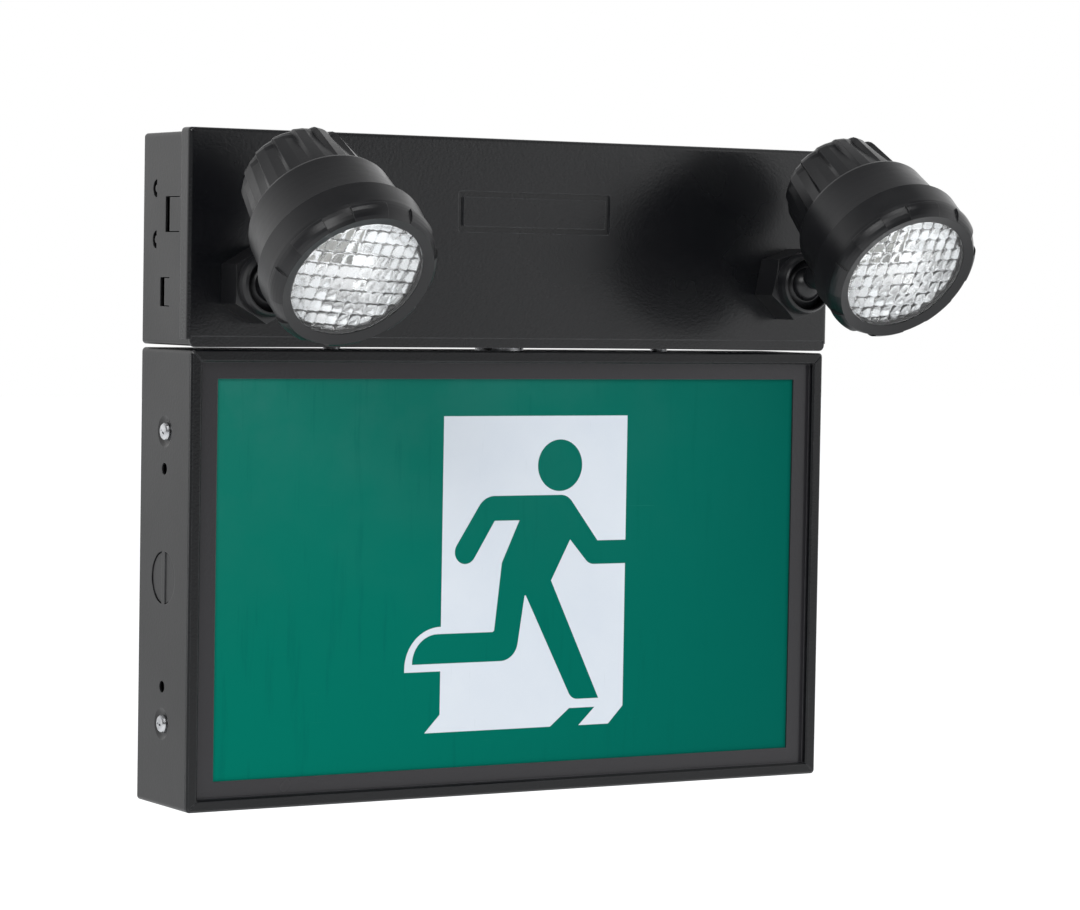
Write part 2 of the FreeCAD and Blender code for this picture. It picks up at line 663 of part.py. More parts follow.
def housing_cover():
    """Front cover: shallow pan with side flanges, joggled lip and embossed field."""
    t = COVER_STEEL
    foot = TRAY_Z0 + FLANGE_FOOT
    outer = pan(COVER_HALF, foot, COVER_Z1, -COVER_D, BEND_R)
    inner = pan(COVER_HALF - t, foot, COVER_Z1 - t, COVER_IN, BEND_R - t)
    shell = outer.cut(inner)
    front = block(-COVER_HALF + BEND_R, COVER_HALF - BEND_R, -COVER_D, COVER_IN, foot, LIP_Z1)
    metal, groove = emboss_tools()
    shell = shell.cut(front).fuse([cover_lip(), metal])
    holes = [rod((x, -COVER_D, z), (0, 1, 0), SHANK_R + SEAT, t) for x, z in head_centres()]
    return whole(shell.cut([groove] + holes))


# --- inside the housing -----------------------------------------------------------
def battery():
    """Sealed battery with two terminals on its right end."""
    z0 = TRAY_Z0 + STEEL + BATTERY_FOOT
    half = BATTERY_W / 2
    case = block(BATTERY_X - half, BATTERY_X + half, -STEEL - BATTERY_D, -STEEL, z0, z0 + BATTERY_H)
    posts = []
    for z in (z0 + BATTERY_H / 4, z0 + 3 * BATTERY_H / 4):
        x = BATTERY_X + half
        y = -STEEL - BATTERY_D / 2
        posts.append(block(x, x + TERMINAL_H, y - TERMINAL_W / 2, y + TERMINAL_W / 2,
                           z - STEEL / 2, z + STEEL / 2))
    return whole(case.fuse(posts))


def battery_strap():
    """Hat-shaped strap that holds the battery to the back of the tray."""
    z0 = TRAY_Z0 + STEEL + BATTERY_FOOT - SEAT
    z1 = z0 + BATTERY_H + 2 * SEAT
    x0, x1 = BATTERY_X - STRAP_W / 2, BATTERY_X + STRAP_W / 2
    back, front = -STEEL, -STEEL - BATTERY_D - SEAT - STRAP_T
    hat = block(x0, x1, front, back, z0 - STRAP_T, z1 + STRAP_T)
    hat = hat.cut(block(x0, x1, front + STRAP_T, back, z0, z1))
    feet = [block(x0, x1, back - STRAP_T, back, z0 - STRAP_T - STRAP_FOOT, z0 - STRAP_T),
            block(x0, x1, back - STRAP_T, back, z1 + STRAP_T, z1 + STRAP_T + STRAP_FOOT)]
    holes = [rod((x, back - STRAP_T, z), (0, 1, 0), SMALL_SCREW_R + SLIP, STRAP_T)
             for x, z in strap_points()]
    return whole(hat.fuse(feet).cut(holes))


def small_screw(x, seat_y, z):
    """Pan-head screw with its head in front of the plane seat_y."""
    head = rod((x, seat_y, z), (0, -1, 0), SMALL_HEAD_R, SMALL_HEAD_H)
    return whole(head.fuse(rod((x, seat_y, z), (0, 1, 0), SMALL_SCREW_R - THREAD_FIT,
                               min(SMALL_SCREW_L, -seat_y))))


def strap_screws():
    return group([small_screw(x, -STEEL - STRAP_T, z) for x, z in strap_points()])


def board_standoffs():
    bore = SMALL_SCREW_R
    posts = []
    for x, z in board_points():
        post = rod((x, -STEEL, z), (0, -1, 0), STANDOFF_R, STANDOFF_H)
        posts.append(whole(post.cut(rod((x, -STEEL, z), (0, -1, 0), bore, STANDOFF_H))))
    return group(posts)


def charger_board():
    """Circuit board with its relay and capacitors soldered on."""
    back = -STEEL - STANDOFF_H
    z_mid = TRAY_Z0 + HOUSING_H / 2
    board = block(BOARD_X - BOARD_W / 2, BOARD_X + BOARD_W / 2, back - BOARD_T, back,
                  z_mid - BOARD_H / 2, z_mid + BOARD_H / 2)
    face = back - BOARD_T
    low = z_mid - BOARD_H / 4
    relay = block(BOARD_X - RELAY_W, BOARD_X, face - RELAY_D, face, low - RELAY_W / 2, low + RELAY_W / 2)
    caps = [rod((BOARD_X + CAP_R * s, face, low), (0, -1, 0), CAP_R, CAP_H) for s in (2.0, 4.2)]
    holes = [rod((x, face, z), (0, 1, 0), SMALL_SCREW_R + SLIP, BOARD_T) for x, z in board_points()]
    return whole(board.fuse([relay] + caps).cut(holes))


def board_screws():
    return group([small_screw(x, -STEEL - STANDOFF_H - BOARD_T, z) for x, z in board_points()])


def transformer():
    """Mains transformer: laminated core with its winding."""
    face = -STEEL - STANDOFF_H - BOARD_T
    z_mid = TRAY_Z0 + HOUSING_H / 2 + BOARD_H / 4 - STANDOFF_INSET
    half_w, half_h = TRANSFORMER_W / 2, TRANSFORMER_H / 2
    core = block(BOARD_X - half_w, BOARD_X + half_w, face - TRANSFORMER_D * 0.7,
                 face - TRANSFORMER_D * 0.3, z_mid - half_h, z_mid + half_h)
    coil = block(BOARD_X - half_w * 0.6, BOARD_X + half_w * 0.6, face - TRANSFORMER_D, face,
                 z_mid - half_h * 0.6, z_mid + half_h * 0.6)
    return whole(core.fuse(coil))


def test_switch():
    """Push switch on the right wall: body, threaded bushing and rim."""
    outer_r = BUTTON_R + SLIP + BUSHING_WALL
    wall = HALF_W
    spot = (-BUTTON_Y, BUTTON_Z)
    rim = rod((wall, *spot), (1, 0, 0), BUSHING_RIM_R, BUSHING_RIM_T)
    inside = BUTTON_L - BUTTON_STAND + BUTTON_TRAVEL + SLIP
    tube = rod((wall - inside, *spot), (1, 0, 0), outer_r, inside)
    half = SWITCH_SIDE / 2
    body = block(wall - inside - SWITCH_D, wall - inside, spot[0] - half, spot[0] + half,
                 spot[1] - half, spot[1] + half)
    bore = rod((wall - inside, *spot), (1, 0, 0), BUTTON_R + SLIP, inside + BUSHING_RIM_T)
    return whole(rim.fuse([tube, body]).cut(bore))


def test_button():
    """Push button of the test switch."""
    tip = HALF_W + BUSHING_RIM_T + BUTTON_STAND
    length = BUTTON_L + BUSHING_RIM_T
    stem = rod((tip - length, -BUTTON_Y, BUTTON_Z), (1, 0, 0), BUTTON_R, length)
    edge = [e for e in stem.Edges if isinstance(e.Curve, Part.Circle) and e.Curve.Center.x > tip - 1e-6]
    return stem.makeFillet(BUTTON_R / 6, edge)


def pilot_lamp():
    """Charge indicator beside the button."""
    spot = (-PILOT_Y, BUTTON_Z)
    body = rod((HALF_W - STEEL - SEAT - PILOT_L, *spot), (1, 0, 0), PILOT_BODY_R, PILOT_L)
    neck = rod((HALF_W - STEEL - SEAT, *spot), (1, 0, 0), PILOT_R, STEEL + SEAT + PILOT_STAND - PILOT_R / 2)
    dome = Part.makeSphere(PILOT_R, V(HALF_W + PILOT_STAND - PILOT_R / 2, *spot))
    dome = dome.common(block(HALF_W, HALF_W + PILOT_STAND * 2 + PILOT_R, spot[0] - PILOT_R,
                             spot[0] + PILOT_R, spot[1] - PILOT_R, spot[1] + PILOT_R))
    return whole(body.fuse([neck, dome]))


# --- swivel of a lamp head: made about the hex axis, y = 0 on the cover ------------
def head_nipple():
    """Flanged nipple through the cover; the hex base screws onto its flange."""
    flange = rod((0, 0, 0), (0, -1, 0), SEAT_FLANGE_R, NIPPLE_FLANGE_T)
    shank = rod((0, 0, 0), (0, 1, 0), SHANK_R, COVER_STEEL + SHANK_STAND)
    bore = rod((0, -NIPPLE_FLANGE_T, 0), (0, 1, 0), SHANK_BORE, NIPPLE_FLANGE_T + COVER_STEEL + SHANK_STAND)
    return whole(flange.fuse(shank).cut(bore))


def head_lock_nut():
    ring = nut(HEAD_NUT_AF, HEAD_NUT_H, SHANK_R + THREAD_FIT)
    return placed(ring, 0, COVER_STEEL, 0)


def hex_base(turn):
    """Hexagonal base with a domed collar round the mouth."""
    corner = HEX_AF / math.sqrt(3)
    hexa = hexagon(HEX_AF, -HEX_H, 0, turn)
    cone_cut = turned([(0, 0), (corner + 1, 0), (corner + 1, -HEX_H + HEX_CHAMFER),
                       (HEX_AF / 2 - SEAT, -HEX_H), (0, -HEX_H)])
    hexa = hexa.common(cone_cut)
    front = -HEX_H - COLLAR_H
    rise = COLLAR_R - COLLAR_MOUTH
    collar = turned([(0, -HEX_H + HEX_CHAMFER), (COLLAR_R, -HEX_H + HEX_CHAMFER), (COLLAR_R, -HEX_H - 1.0),
                     (COLLAR_R - rise * 0.12, front + COLLAR_H * 0.45),
                     (COLLAR_R - rise * 0.42, front + COLLAR_H * 0.14),
                     (COLLAR_MOUTH + rise * 0.25, front), (0, front)])
    bore = [rod((0, 0, 0), (0, -1, 0), SEAT_FLANGE_R + SLIP / 2, CUP_SHOULDER),
            rod((0, 0, 0), (0, -1, 0), COLLAR_MOUTH, HEX_H + COLLAR_H)]
    return whole(hexa.fuse(collar).cut(bore))


def swivel_cup():
    """Cup that turns in the hex base and holds the ball."""
    fit = SLIP / 2
    back = -NIPPLE_FLANGE_T - fit
    step = -CUP_SHOULDER + fit
    cup = turned([(SHANK_BORE, back), (SEAT_FLANGE_R, back), (SEAT_FLANGE_R, step),
                  (COLLAR_MOUTH - fit, step), (COLLAR_MOUTH - fit, -CUP_FRONT + BALL_R / 3),
                  (BALL_R + fit, -CUP_FRONT), (SHANK_BORE, -CUP_FRONT)])
    return whole(cup.cut(Part.makeSphere(BALL_R + BALL_FIT, V(0, -BALL_OUT, 0))))


def ball_stud():
    """Ball, neck and stem, along -Y from the ball centre; the spigot enters the shell."""
    ball = Part.makeSphere(BALL_R)
    stem = turned([(0, 0), (NECK_R, 0), (NECK_R, -NECK_END + STEM_ROUND),
                   (NECK_R + STEM_ROUND / 2, -NECK_END), (STEM_R - STEM_ROUND / 3, -NECK_END),
                   (STEM_R, -NECK_END - STEM_ROUND), (STEM_R, -STEM_END), (SPIGOT_R, -STEM_END),
                   (SPIGOT_R, -STEM_END - SPIGOT_L), (0, -STEM_END - SPIGOT_L)])
    stud = whole(ball.fuse(stem))
    stud.rotate(V(0, 0, 0), V(1, 0, 0), -STEM_RISE)
    return placed(stud, 0, -BALL_OUT, 0)


# --- lamp head: made about the lens axis, y = 0 on the lens plane, rear at +Y -------
def arc_points(a, b, c, steps):
    """Points on the arc through three (radius, y) points."""
    arc = Part.Arc(V(*a, 0), V(*b, 0), V(*c, 0))
    return [(p.x, p.y) for p in arc.toShape().discretize(steps)]


def bulge(a, b, steps):
    """Arc between two (radius, y) points that leaves the wider one along the axis."""
    mid = (b[0] + (a[0] - b[0]) * 0.3, a[1] + (b[1] - a[1]) * 0.4)
    return arc_points(a, mid, b, steps)


def bezel_corner():
    """Rounded front corner of the bezel ring."""
    return bulge((BEZEL_CREST_R, -BEZEL_CREST), (BEZEL_R, BEZEL_CORNER), 7)


def pad_profile():
    """Grip pad standing proud of the rounded corner."""
    outer = BEZEL_R + PAD_PROUD / 2
    face = bulge((BEZEL_CREST_R + SEAT, -BEZEL_CREST - SEAT), (outer, PAD_D), 6)
    return face + [(outer - 2 * PAD_PROUD, PAD_D), (BEZEL_CREST_R - PAD_PROUD, PAD_PROUD)]


def bezel_ring():
    """Front ring with raised grip pads; it clamps the lens to the shell."""
    inner = BEZEL_R - BEZEL_WALL
    back = BEZEL_LIP_T + LENS_T
    ring = turned([(LENS_SEEN_R, 0)] + bezel_corner() + [
        (BEZEL_R + BEZEL_FLARE, BEZEL_D), (inner, BEZEL_D), (inner, back),
        (LENS_R + SEAT, back), (LENS_R + SEAT, BEZEL_LIP_T), (LENS_SEEN_R, BEZEL_LIP_T)])
    pads = [turned(pad_profile(), PAD_ANGLE, 360.0 * i / PAD_COUNT + PAD_TURN - PAD_ANGLE / 2)
            for i in range(PAD_COUNT)]
    return whole(ring.fuse(pads))


def lens():
    """Pressed glass lens: rim behind the bezel lip, domed front that fills the opening."""
    y0, y1 = BEZEL_LIP_T, BEZEL_LIP_T + LENS_T
    seen = LENS_SEEN_R - SEAT
    dome = arc_points((seen, 0), (seen / 2, -LENS_DOME * 0.75), (0, -LENS_DOME), 7)
    return turned([(0, y1), (LENS_R, y1), (LENS_R, y0), (seen, y0)] + dome)


def gasket():
    y0 = BEZEL_LIP_T + LENS_T
    r0, r1 = LENS_SEEN_R + STEEL, BEZEL_R - BEZEL_WALL - SLIP
    return turned([(r0, y0), (r1, y0), (r1, y0 + GASKET_T), (r0, y0 + GASKET_T)])


def reflector():
    """Parabolic mirror behind the lens with its neck for the lamp."""
    y0 = BEZEL_LIP_T + LENS_T + GASKET_T
    depth = MIRROR_D
    rim_r = BEZEL_R - BEZEL_WALL - SLIP
    wide = LENS_SEEN_R - MIRROR_T
    bend = []
    for i in range(8):
        r = wide + (MIRROR_NECK_R - wide) * i / 7.0
        bend.append((r, y0 + depth * (wide ** 2 - r ** 2) / (wide ** 2 - MIRROR_NECK_R ** 2)))
    end = y0 + depth + MIRROR_NECK_L
    outer = [(MIRROR_NECK_R + MIRROR_T, end), (MIRROR_NECK_R + MIRROR_T, y0 + depth + MIRROR_T)]
    outer += [(r + MIRROR_T, y + MIRROR_T) for r, y in reversed(bend[:-1])]
    return turned(bend + [(MIRROR_NECK_R, end)] + outer + [(rim_r, y0 + MIRROR_T), (rim_r, y0)])


def lamp_bulb():
    """Capsule lamp on the reflector's axis."""
    seat = BEZEL_LIP_T + LENS_T + GASKET_T + MIRROR_D + MIRROR_NECK_L
    body = rod((0, seat, 0), (0, -1, 0), BULB_R, BULB_L - BULB_R)
    return whole(body.fuse(Part.makeSphere(BULB_R, V(0, seat - BULB_L + BULB_R, 0))))


def lamp_holder():
    """Holder behind the reflector's neck."""
    seat = BEZEL_LIP_T + LENS_T + GASKET_T + MIRROR_D + MIRROR_NECK_L
    pins = rod((0, seat + HOLDER_L, 0), (0, 1, 0), HOLDER_R / 2, STEEL * 2)
    flange = rod((0, seat, 0), (0, 1, 0), MIRROR_NECK_R + MIRROR_T, HOLDER_L / 3)
    return whole(rod((0, seat, 0), (0, 1, 0), HOLDER_R, HOLDER_L).fuse([pins, flange]))


def flute_ring(radius, depth, y, turn):
    """Sawtooth outline of the fluted barrel."""
    pitch = 360.0 / FLUTE_COUNT
    ring = []
    for i in range(FLUTE_COUNT):
        for share, drop in ((0.0, 0.0), (0.45, 0.4), (1.0 - FLUTE_STEP, 1.0)):
            a = math.radians(turn - pitch * (i + share))
            r = radius - depth * drop
            ring.append(V(r * math.cos(a), y, r * math.sin(a)))
    return Part.makePolygon(ring + ring[:1])


def barrel(turn):
    """Tapering rear barrel; its flutes deepen to the rounded rear edge and die out on it."""
    edge = bulge((REAR_FACE_R, HEAD_L), (REAR_R, HEAD_L - REAR_EDGE), REAR_STEPS + 1)
    sections = [flute_ring(BARREL_R, FLUTE_RUNOUT, y, turn) for y in (BOWL_D - SHOULDER_R - STEEL, BOWL_D)]
    for i, (radius, y) in enumerate(reversed(edge)):
        left = 1.0 - i / REAR_STEPS
        sections.append(flute_ring(radius, FLUTE_RUNOUT + FLUTE_DEPTH * left, y, turn))
    return Part.makeLoft(sections, True, True)


def shell_cavity():
    wall = SHELL_WALL
    front = BEZEL_LIP_T + LENS_T + GASKET_T + MIRROR_T
    spigot = BEZEL_R - BEZEL_WALL - SLIP
    barrel_in, rear_in = (r - FLUTE_DEPTH - wall for r in (BARREL_R, REAR_R))
    return turned([(0, front), (spigot - wall, front), (spigot - wall, BEZEL_D + wall),
                   (BOWL_END_R - wall, BOWL_D - wall * 2), (barrel_in, BOWL_D),
                   (rear_in, HEAD_L - REAR_EDGE - wall / 2), (REAR_FACE_R - wall, HEAD_L - wall),
                   (0, HEAD_L - wall)])


def to_head(shape):
    """From the lens frame to the swivel frame."""
    copy = shape.copy()
    copy.rotate(V(0, 0, 0), V(1, 0, 0), HEAD_PITCH)
    return placed(copy, 0, -BALL_OUT - HEAD_REACH, HEAD_LIFT)


def stem_tool(radius, start, length):
    """Rod along the stem, measured from the ball centre."""
    tool = rod((0, -start, 0), (0, -1, 0), radius, length)
    tool.rotate(V(0, 0, 0), V(1, 0, 0), -STEM_RISE)
    return placed(tool, 0, -BALL_OUT, 0)


def lamp_shell(turn):
    """One-piece shell: bowl, shoulder, fluted barrel and the boss for the stem."""
    front = BEZEL_LIP_T + LENS_T + GASKET_T + MIRROR_T
    spigot = BEZEL_R - BEZEL_WALL - SLIP
    step = BEZEL_D + SLIP / 3
    bowl = turned([(0, front), (spigot, front), (spigot, step)]
                  + arc_points((BOWL_R, step), (BOWL_MID_R, (BEZEL_D + BOWL_D) / 2),
                               (BOWL_END_R, BOWL_D - SHOULDER_R), 7)
                  + [(BOWL_END_R - SHOULDER_R * 0.3, BOWL_D - SHOULDER_R * 0.3),
                     (BOWL_END_R - SHOULDER_R, BOWL_D), (0, BOWL_D)])
    outer = to_head(bowl.fuse(barrel(turn)))
    boss = stem_tool(BOSS_R, STEM_END, SPIGOT_L + SHELL_WALL * 3)
    body = outer.fuse(boss).cut(to_head(shell_cavity()))
    socket = stem_tool(SPIGOT_R + THREAD_FIT, STEM_END, SPIGOT_L + SLIP)
    solids = sorted(body.cut(socket).removeSplitter().Solids, key=lambda s: s.Volume)
    return solids[-1]


# --- both heads ---------------------------------------------------------------------
def head_nodes(side, centre, base_turn, aim):
    """All pieces of one lamp head, by node name; aim tips it down about its ball."""
    fixed = {"head_nipple": head_nipple(), "head_lock_nut": head_lock_nut(),
             "hex_base": hex_base(base_turn), "swivel_cup": swivel_cup()}
    tipped = {
        "ball_stud": ball_stud(), "lamp_shell": lamp_shell(FLUTE_TURN),
        "bezel_ring": to_head(bezel_ring()), "lens": to_head(lens()), "gasket": to_head(gasket()),
        "reflector": to_head(reflector()), "lamp_bulb": to_head(lamp_bulb()),
        "lamp_holder": to_head(lamp_holder()),
    }
    for shape in tipped.values():
        shape.rotate(V(0, -BALL_OUT, 0), V(1, 0, 0), aim)
    x, z = centre
    return {side + "_" + name: placed(shape, x, -COVER_D, z)
            for name, shape in {**fixed, **tipped}.items()}


def nodes():
    out = {
        "sign_body": sign_body(), "sign_back_plate": sign_back_plate(), "face_frame": face_frame(),
        "legend_film": legend_film(), "legend_panel": legend_panel(), "sign_liner": sign_liner(),
        "led_strips": led_strips(), "side_screws": side_screws(),
        "link_nipple": link_nipple(), "link_lock_nuts": link_lock_nuts(),
        "link_spacers": link_spacers(), "link_screws": link_screws(), "link_nuts": link_nuts(),
        "housing_tray": housing_tray(), "housing_cover": housing_cover(),
        "battery": battery(), "battery_strap": battery_strap(), "strap_screws": strap_screws(),
        "board_standoffs": board_standoffs(), "charger_board": charger_board(),
        "board_screws": board_screws(), "transformer": transformer(),
        "test_switch": test_switch(), "test_button": test_button(), "pilot_lamp": pilot_lamp(),
    }
    left, right = head_centres()
    out.update(head_nodes("left", left, LEFT_HEX_TURN, HEAD_AIM))
    out.update(head_nodes("right", right, RIGHT_HEX_TURN, -HEAD_AIM))
    return out


def main():
    os.makedirs("parts", exist_ok=True)
    for name, shape in nodes().items():
        shape.exportStep("parts/" + name + ".step")
        print(name, len(shape.Solids), round(shape.Volume), shape.isValid())


main()
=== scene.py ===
import json
import math
import random

import bmesh
import bpy
from mathutils import Matrix, Vector


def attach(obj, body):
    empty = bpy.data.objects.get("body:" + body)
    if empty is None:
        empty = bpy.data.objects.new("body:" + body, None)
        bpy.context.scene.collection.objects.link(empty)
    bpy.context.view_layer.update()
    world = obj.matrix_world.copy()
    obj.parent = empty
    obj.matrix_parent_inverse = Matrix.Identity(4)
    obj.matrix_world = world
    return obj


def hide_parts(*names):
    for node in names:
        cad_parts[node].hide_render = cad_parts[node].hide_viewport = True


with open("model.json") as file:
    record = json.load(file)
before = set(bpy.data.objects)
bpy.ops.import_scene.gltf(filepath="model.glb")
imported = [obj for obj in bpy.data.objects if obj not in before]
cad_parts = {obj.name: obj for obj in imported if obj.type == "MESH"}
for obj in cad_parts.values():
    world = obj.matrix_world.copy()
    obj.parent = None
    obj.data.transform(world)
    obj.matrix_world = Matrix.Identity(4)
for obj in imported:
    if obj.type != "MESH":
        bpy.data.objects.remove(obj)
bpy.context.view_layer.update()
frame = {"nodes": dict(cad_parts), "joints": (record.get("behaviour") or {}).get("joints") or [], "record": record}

MM = 0.001
random.seed(7)
NODES = frame["nodes"]
JOINTS = {j["name"]: j for j in frame["joints"]}

# Camera: place in metres, unit directions of view and up, lens and sensor in millimetres.
CAMERA_AT = Vector((-0.8307, -1.4383, 0.12465))
CAMERA_AIM = Vector((0.5164, 0.8551, -0.0455))
CAMERA_UP = Vector((0.0092, 0.0476, 0.9988))
CAMERA_LENS = 125.66
CAMERA_SENSOR = 36.0
CAMERA_CLIP = (0.05, 60.0)               # metres

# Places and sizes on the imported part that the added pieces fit, in millimetres and degrees.
FILM_FRONT = -43.2       # front of the legend film
BEZEL_FRONT = -44.2      # flat face round the legend
RECESS_SHEEN_SPAN = (1.5, 0.6)    # in front of that face: its lighter colour, a painted reflection, starts, and is full
HEAD_PITCH = 37.7        # lens below level, before the head's own aim
HEAD_REACH = 75.6        # middle of the lens in front of the ball's centre
HEAD_LIFT = 3.7          # and above it
HEAD_AIM = {"left": 0.9, "right": -0.9}      # each head turned about its ball

# The lens, in millimetres from its middle, with y towards the lamp.
LENS_R = 29.35           # rim behind the lip of the bezel
LENS_SEAT = 1.25         # front of that rim
LENS_SEEN_R = 27.55      # front that fills the opening
LENS_GRID_R = 26.9       # prisms end here
LENS_BACK = 4.35         # back of the rim
LENS_DOME = 0.95         # rise of the front
LENS_RELIEF = 0.25       # crests of the prisms in front of the rim's back
LENS_SCATTER = 0.45      # uneven tilt of the prisms
LENS_STEPS = 8           # mesh steps across one prism
# (radius, y) of the rim, from the front to the back.
LENS_RIM = [(LENS_SEEN_R - 0.15, 0.02), (LENS_SEEN_R, 0.2), (LENS_SEEN_R, LENS_SEAT),
            (LENS_R, LENS_SEAT), (LENS_R, LENS_BACK), (LENS_GRID_R + 0.2, LENS_BACK)]

# The pan-head side screws, in millimetres.
SCREW_SEAT_X = 156.6
SCREW_Y = -22.8
SCREW_Z = 60.8
SCREW_HEAD_R = 3.8
SCREW_HEAD_H = 2.3
SCREW_SHANK_R = 2.0
SCREW_SHANK_L = 8.0
SCREW_SIDES = 40
SCREW_CURVE = [(1.0, 0.0), (0.985, 0.3), (0.93, 0.58), (0.8, 0.78), (0.6, 0.91), (0.3, 0.985),
               (0.06, 1.0), (0.0, 0.97)]          # shares of the head's height and radius
CROSS_MOUTH = (2.15, 0.42, -SCREW_HEAD_H - 0.3)   # half length, half width and x
CROSS_FOOT = (1.15, 0.28, -SCREW_HEAD_H * 0.25)

# Stage, in metres.
FLOOR_HALF = 14.0
FLOOR_LEVEL = -0.42
FLOOR_GLOW = 0.55        # added where the camera or a glass looks
FLOOR_GLOSS = 0.15       # added where only a gloss looks
ROOM_LIGHT = (0.60, 0.61, 0.62)      # what lights the object from all round
# What a gloss sees of the room: low and high in a direction, and the brightness at each.
ROOM_BEHIND = (-0.05, 0.30, 0.0, 1.05)
ROOM_BESIDE = (0.42, 0.57, 0.0, 1.30)
ROOM_ABOVE = (0.25, 0.80, 1.0, 0.40)     # a share of the others
ROOM_DIM = 0.10          # darkest of the sides
LAMPS = (
    # name, place, aim, width, height, watts, seen in a gloss
    ("key", (-1.6, -1.35, 1.4), (0, 0, 0.05), 1.0, 0.9, 17.0, True),
    ("fill", (1.8, -1.5, 0.5), (0, 0, 0.05), 1.0, 1.4, 9.0, False),
    ("top", (0.1, 0.3, 1.8), (0, 0, 0.1), 1.6, 1.0, 8.0, False),
    ("brow", (-0.15, -1.0, 1.8), (0, 0, 0.1), 0.9, 0.6, 5.5, True),
)


# --- node helpers ------------------------------------------------------------------
class Shader:
    """A node tree under construction, with short calls for the nodes that repeat."""

    def __init__(self, name):
        self.material = bpy.data.materials.new(name)
        self.material.use_nodes = True
        self.start(self.material.node_tree, "ShaderNodeOutputMaterial", "Object")

    def start(self, tree, output, place):
        """Empty the tree, then add its output and the place that textures are read at."""
        self.tree = tree
        self.tree.nodes.clear()
        self.out = self.node(output)
        self.place = self.node("ShaderNodeTexCoord").outputs[place]

    def node(self, kind, **settings):
        made = self.tree.nodes.new(kind)
        for key, value in settings.items():
            setattr(made, key, value)
        return made

    def put(self, value, socket):
        """Give the socket a link from another one, or a plain value."""
        if isinstance(value, bpy.types.NodeSocket):
            self.tree.links.new(value, socket)
        else:
            socket.default_value = value

    def feed(self, node, **inputs):
        """Fill sockets by name, where an underscore stands for a space."""
        for key, value in inputs.items():
            self.put(value, node.inputs[key.replace("_", " ")])
        return node

    def order(self, node, *inputs):
        """Fill the first sockets in turn."""
        for value, socket in zip(inputs, node.inputs):
            self.put(value, socket)
        return node

    def axes(self):
        """The x, y and z of the place that textures are read at."""
        split = self.feed(self.node("ShaderNodeSeparateXYZ"), Vector=self.place)
        return split.outputs["X"], split.outputs["Y"], split.outputs["Z"]

    def stretched(self, scale, turn=(0.0, 0.0, 0.0)):
        made = self.node("ShaderNodeMapping")
        return self.feed(made, Vector=self.place, Scale=scale, Rotation=turn).outputs["Vector"]

    def noise(self, scale, detail=3.0, rough=0.5, vector=None):
        made = self.node("ShaderNodeTexNoise")
        self.feed(made, Vector=vector or self.place, Scale=scale, Detail=detail, Roughness=rough)
        return made.outputs["Fac"]

    def band(self, value, low, high, to_low=0.0, to_high=1.0):
        """Value carried from low..high to to_low..to_high, and held at those ends."""
        made = self.node("ShaderNodeMapRange")
        self.feed(made, Value=value, From_Min=low, From_Max=high, To_Min=to_low, To_Max=to_high)
        return made.outputs["Result"]

    def math(self, operation, a, b):
        made = self.node("ShaderNodeMath", operation=operation)
        return self.order(made, a, b).outputs["Value"]

    def mix(self, factor, a, b):
        made = self.node("ShaderNodeMix", data_type="RGBA")
        for index, value in ((0, factor), (6, a), (7, b)):
            self.put(value, made.inputs[index])
        return made.outputs[2]

    def bump(self, height, strength, distance, normal=None):
        made = self.node("ShaderNodeBump")
        self.feed(made, Height=height, Strength=strength, Distance=distance)
        if normal is not None:
            self.feed(made, Normal=normal)
        return made.outputs["Normal"]

    def rounded(self, radius):
        """Normal that rounds off the edges."""
        made = self.node("ShaderNodeBevel", samples=4)
        return self.feed(made, Radius=radius).outputs["Normal"]

    def edge_wear_and_sheen(self, colour, soft_normal, wear_and_sheen_colour, amount):
        """Colour with its edges painted lighter, where the rounded normal leaves the plain one: partly rubbed
        wear, partly a painted highlight.
        """
        dot = self.node("ShaderNodeVectorMath", operation="DOT_PRODUCT")
        self.order(dot, self.node("ShaderNodeNewGeometry").outputs["Normal"], soft_normal)
        # Where the edge is painted lighter: partly rubbed wear, partly a painted highlight.
        edge = self.band(dot.outputs["Value"], 0.985, 0.80)
        patch = self.band(self.noise(120.0, 4.0, 0.6), 0.30, 0.65, 0.35 * amount, amount)
        return self.mix(self.math("MULTIPLY", edge, patch), colour, wear_and_sheen_colour)

    def close(self, shader):
        """Lead the shader to the output."""
        self.tree.links.new(shader.outputs[0], self.out.inputs["Surface"])

    def surface(self, **inputs):
        self.close(self.feed(self.node("ShaderNodeBsdfPrincipled"), **inputs))
        return self.material


def rgba(r, g, b):
    return (r, g, b, 1.0)


# --- finishes ----------------------------------------------------------------------
def powder_coat(name, dark, light, rough, peel=0.25, spec=0.62, recess=None):
    """Satin powder coat: orange peel, uneven gloss, a little dust, and lighter edges that are partly wear and
    partly a painted highlight.

    recess, when given, is a lighter colour painted on the flat face that lies behind the rim: a painted
    reflection.
    """
    s = Shader(name)
    colour = s.mix(s.band(s.noise(14.0, 4.0), 0.3, 0.7), rgba(*dark), rgba(*light))
    # Painted reflection: the flat face behind the rim is painted lighter than the rest of the coat.
    if recess:
        start, full = ((BEZEL_FRONT - ahead) * MM for ahead in RECESS_SHEEN_SPAN)
        recess_sheen_mask = s.band(s.axes()[1], start, full)
        colour = s.mix(recess_sheen_mask, colour, rgba(*recess))
    dust = s.band(s.noise(2600.0, 1.0), 0.74, 0.80)
    colour = s.mix(s.math("MULTIPLY", dust, 0.10), colour, rgba(0.35, 0.36, 0.38))
    soft = s.rounded(0.0005)
    return s.surface(
        # Edges go lighter grey: partly wear, partly a painted highlight.
        Base_Color=s.edge_wear_and_sheen(colour, soft, rgba(0.11, 0.113, 0.12), 0.75),
        Roughness=s.band(s.noise(24.0, 3.0, 0.5), 0.35, 0.7, rough - 0.03, rough + 0.04),
        Normal=s.bump(s.noise(900.0, 2.0), peel, 0.0002, soft),
        Specular_IOR_Level=spec)


